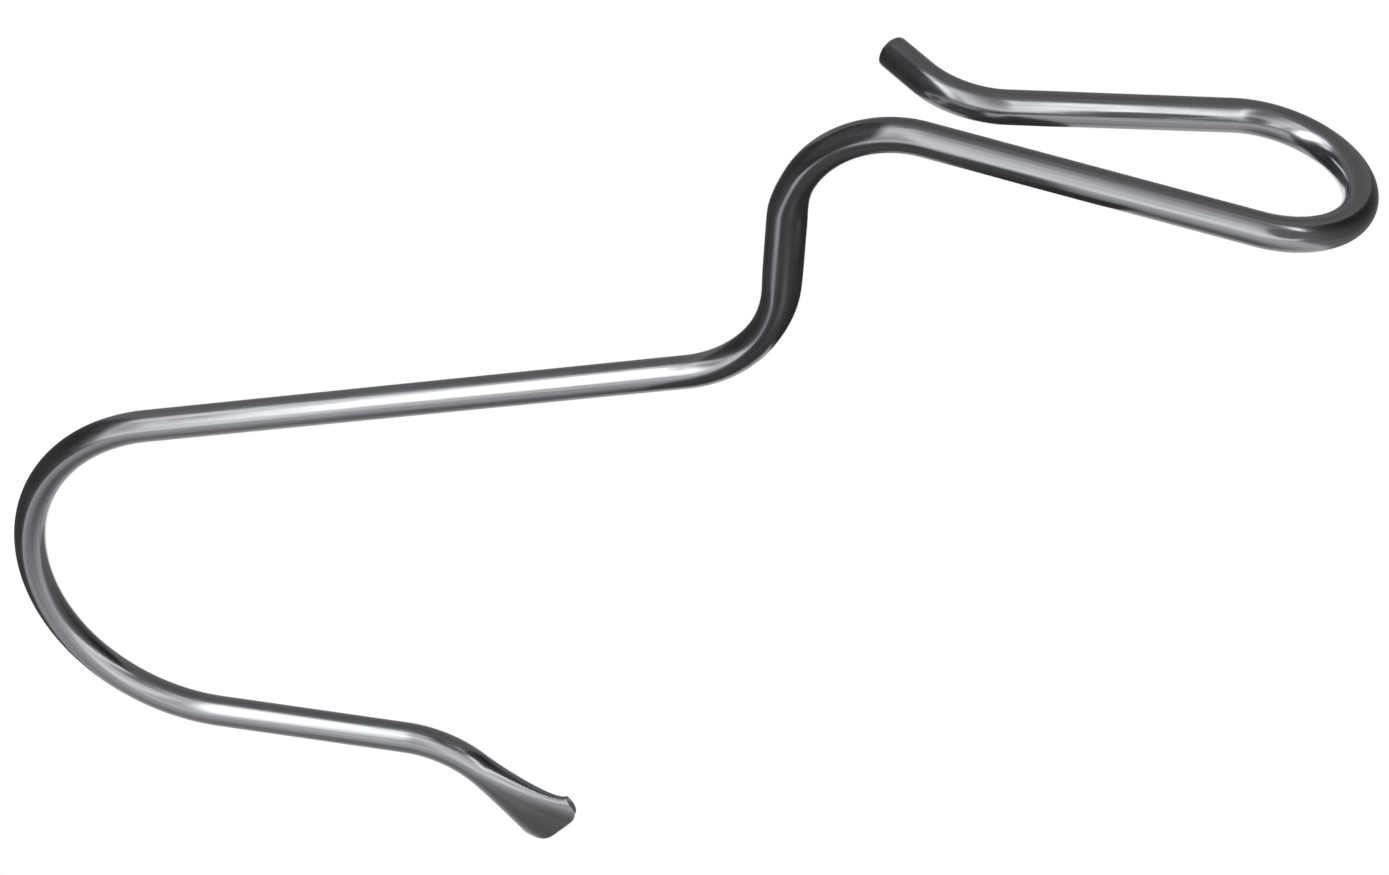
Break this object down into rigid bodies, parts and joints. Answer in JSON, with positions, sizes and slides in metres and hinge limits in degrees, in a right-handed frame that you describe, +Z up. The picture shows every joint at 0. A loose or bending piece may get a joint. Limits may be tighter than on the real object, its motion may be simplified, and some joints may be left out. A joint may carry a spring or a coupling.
{
  "type": "bucket hook",
  "caption": "One-piece bent rod hook: a wide hook goes over a ladder rung and a narrow hook, turned a quarter turn, takes a bucket's bail.",
  "frame": {"origin": "where the rung bears, at the inside top of the wide bend", "axes": "+Z up as the hook hangs, along the shank; +Y along the rung, to the side the narrow hook is turned; +X from the free arm to the shank"},
  "size_m": [0.1647, 0.0417, 0.2794],
  "materials": {
    "zinc_plated_steel": "bright zinc plating over drawn steel rod"
  },
  "bodies": {
    "root": {"hook": "zinc_plated_steel"}
  },
  "joints": []
}
